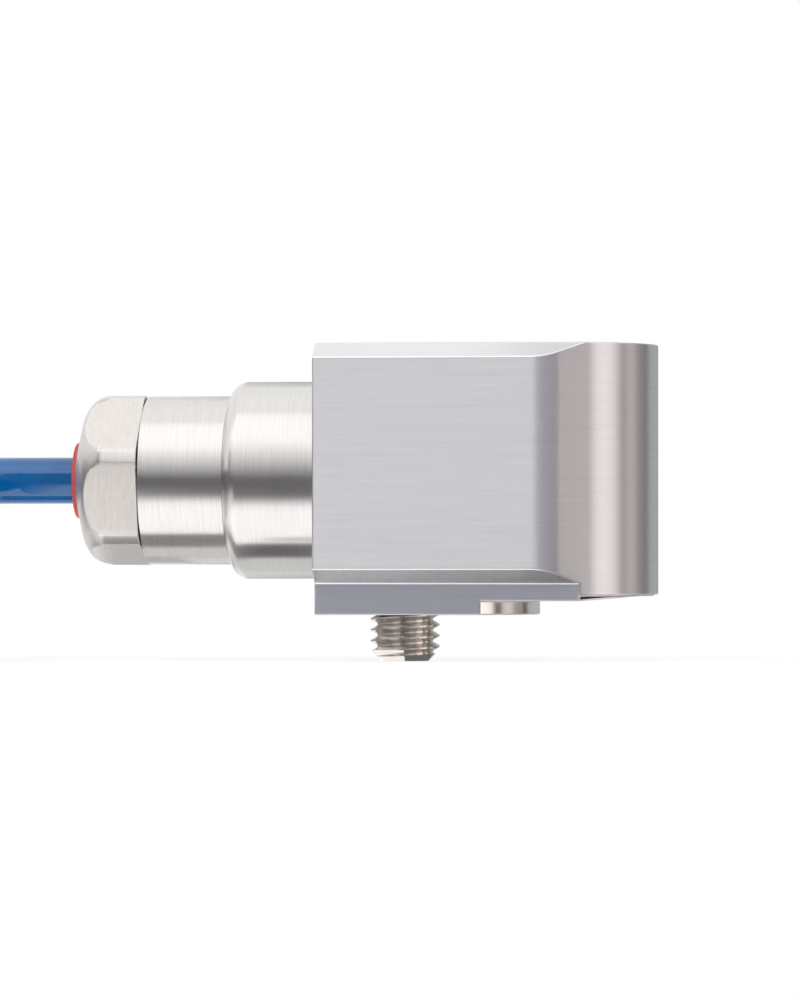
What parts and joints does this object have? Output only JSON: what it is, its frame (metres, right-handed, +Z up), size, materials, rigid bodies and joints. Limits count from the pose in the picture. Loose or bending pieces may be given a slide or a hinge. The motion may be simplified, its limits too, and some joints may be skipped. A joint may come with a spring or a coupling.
{
  "type": "vibration sensor",
  "caption": "Stainless block vibration sensor with a round nose, a stud in its foot, a cable gland at the side and a fixed blue cable laid in a tied coil.",
  "frame": {"origin": "on the stud's axis, in the plane of the mounting pad's face", "axes": "+Z up out of the mounting face, +X towards the nose, the cable leaves along -X, the front is -Y"},
  "size_m": [0.1499, 0.0748, 0.0364],
  "materials": {
    "steel_body": "fine horizontal brushing, edges lightly broken",
    "steel_turned": "turned, fine rings round the axis",
    "steel_nut": "milled flats, turned dome",
    "steel_stud": "rolled thread, bright",
    "ring_plastic": "plain moulded",
    "seal_rubber": "matt red rubber",
    "oring_rubber": "matt black rubber",
    "carrier_plastic": "plain moulded",
    "board": "green solder mask",
    "chip_ceramic": "plain package",
    "chip_plastic": "plain package",
    "capacitor_ceramic": "plain ceramic",
    "pin_brass": "plain",
    "resin": "poured resin",
    "core_brown": "plain insulation",
    "core_white": "plain insulation",
    "core_blue": "plain insulation",
    "core_black": "plain insulation",
    "cable_jacket": "smooth blue jacket",
    "tie_plastic": "plain black strap",
    "ferrule_tin": "tinned copper"
  },
  "bodies": {
    "root": {"housing": "steel_body", "mounting_stud": "steel_stud", "neck_sleeve": "steel_turned", "gland_body": "steel_turned", "gland_nut": "steel_nut", "thrust_ring": "ring_plastic", "cable_seal": "seal_rubber", "o_ring": "oring_rubber", "board_carrier": "carrier_plastic", "circuit_board": "board", "accelerometer_chip": "chip_ceramic", "amplifier_chip": "chip_plastic", "voltage_regulator": "chip_plastic", "filter_capacitors": "capacitor_ceramic", "terminal_pins": "pin_brass", "resin_plug": "resin", "core_brown": "core_brown", "core_white": "core_white", "core_blue": "core_blue", "core_black": "core_black", "shield_ferrule": "pin_brass", "cable_entry": "cable_jacket", "cable_lead": "cable_jacket", "cable_coil": "cable_jacket", "cable_tail": "cable_jacket", "coil_tie_near": "tie_plastic", "coil_tie_far": "tie_plastic", "tail_core_brown": "core_brown", "tail_core_white": "core_white", "tail_core_blue": "core_blue", "tail_core_black": "core_black", "end_ferrules": "ferrule_tin"}
  },
  "joints": []
}
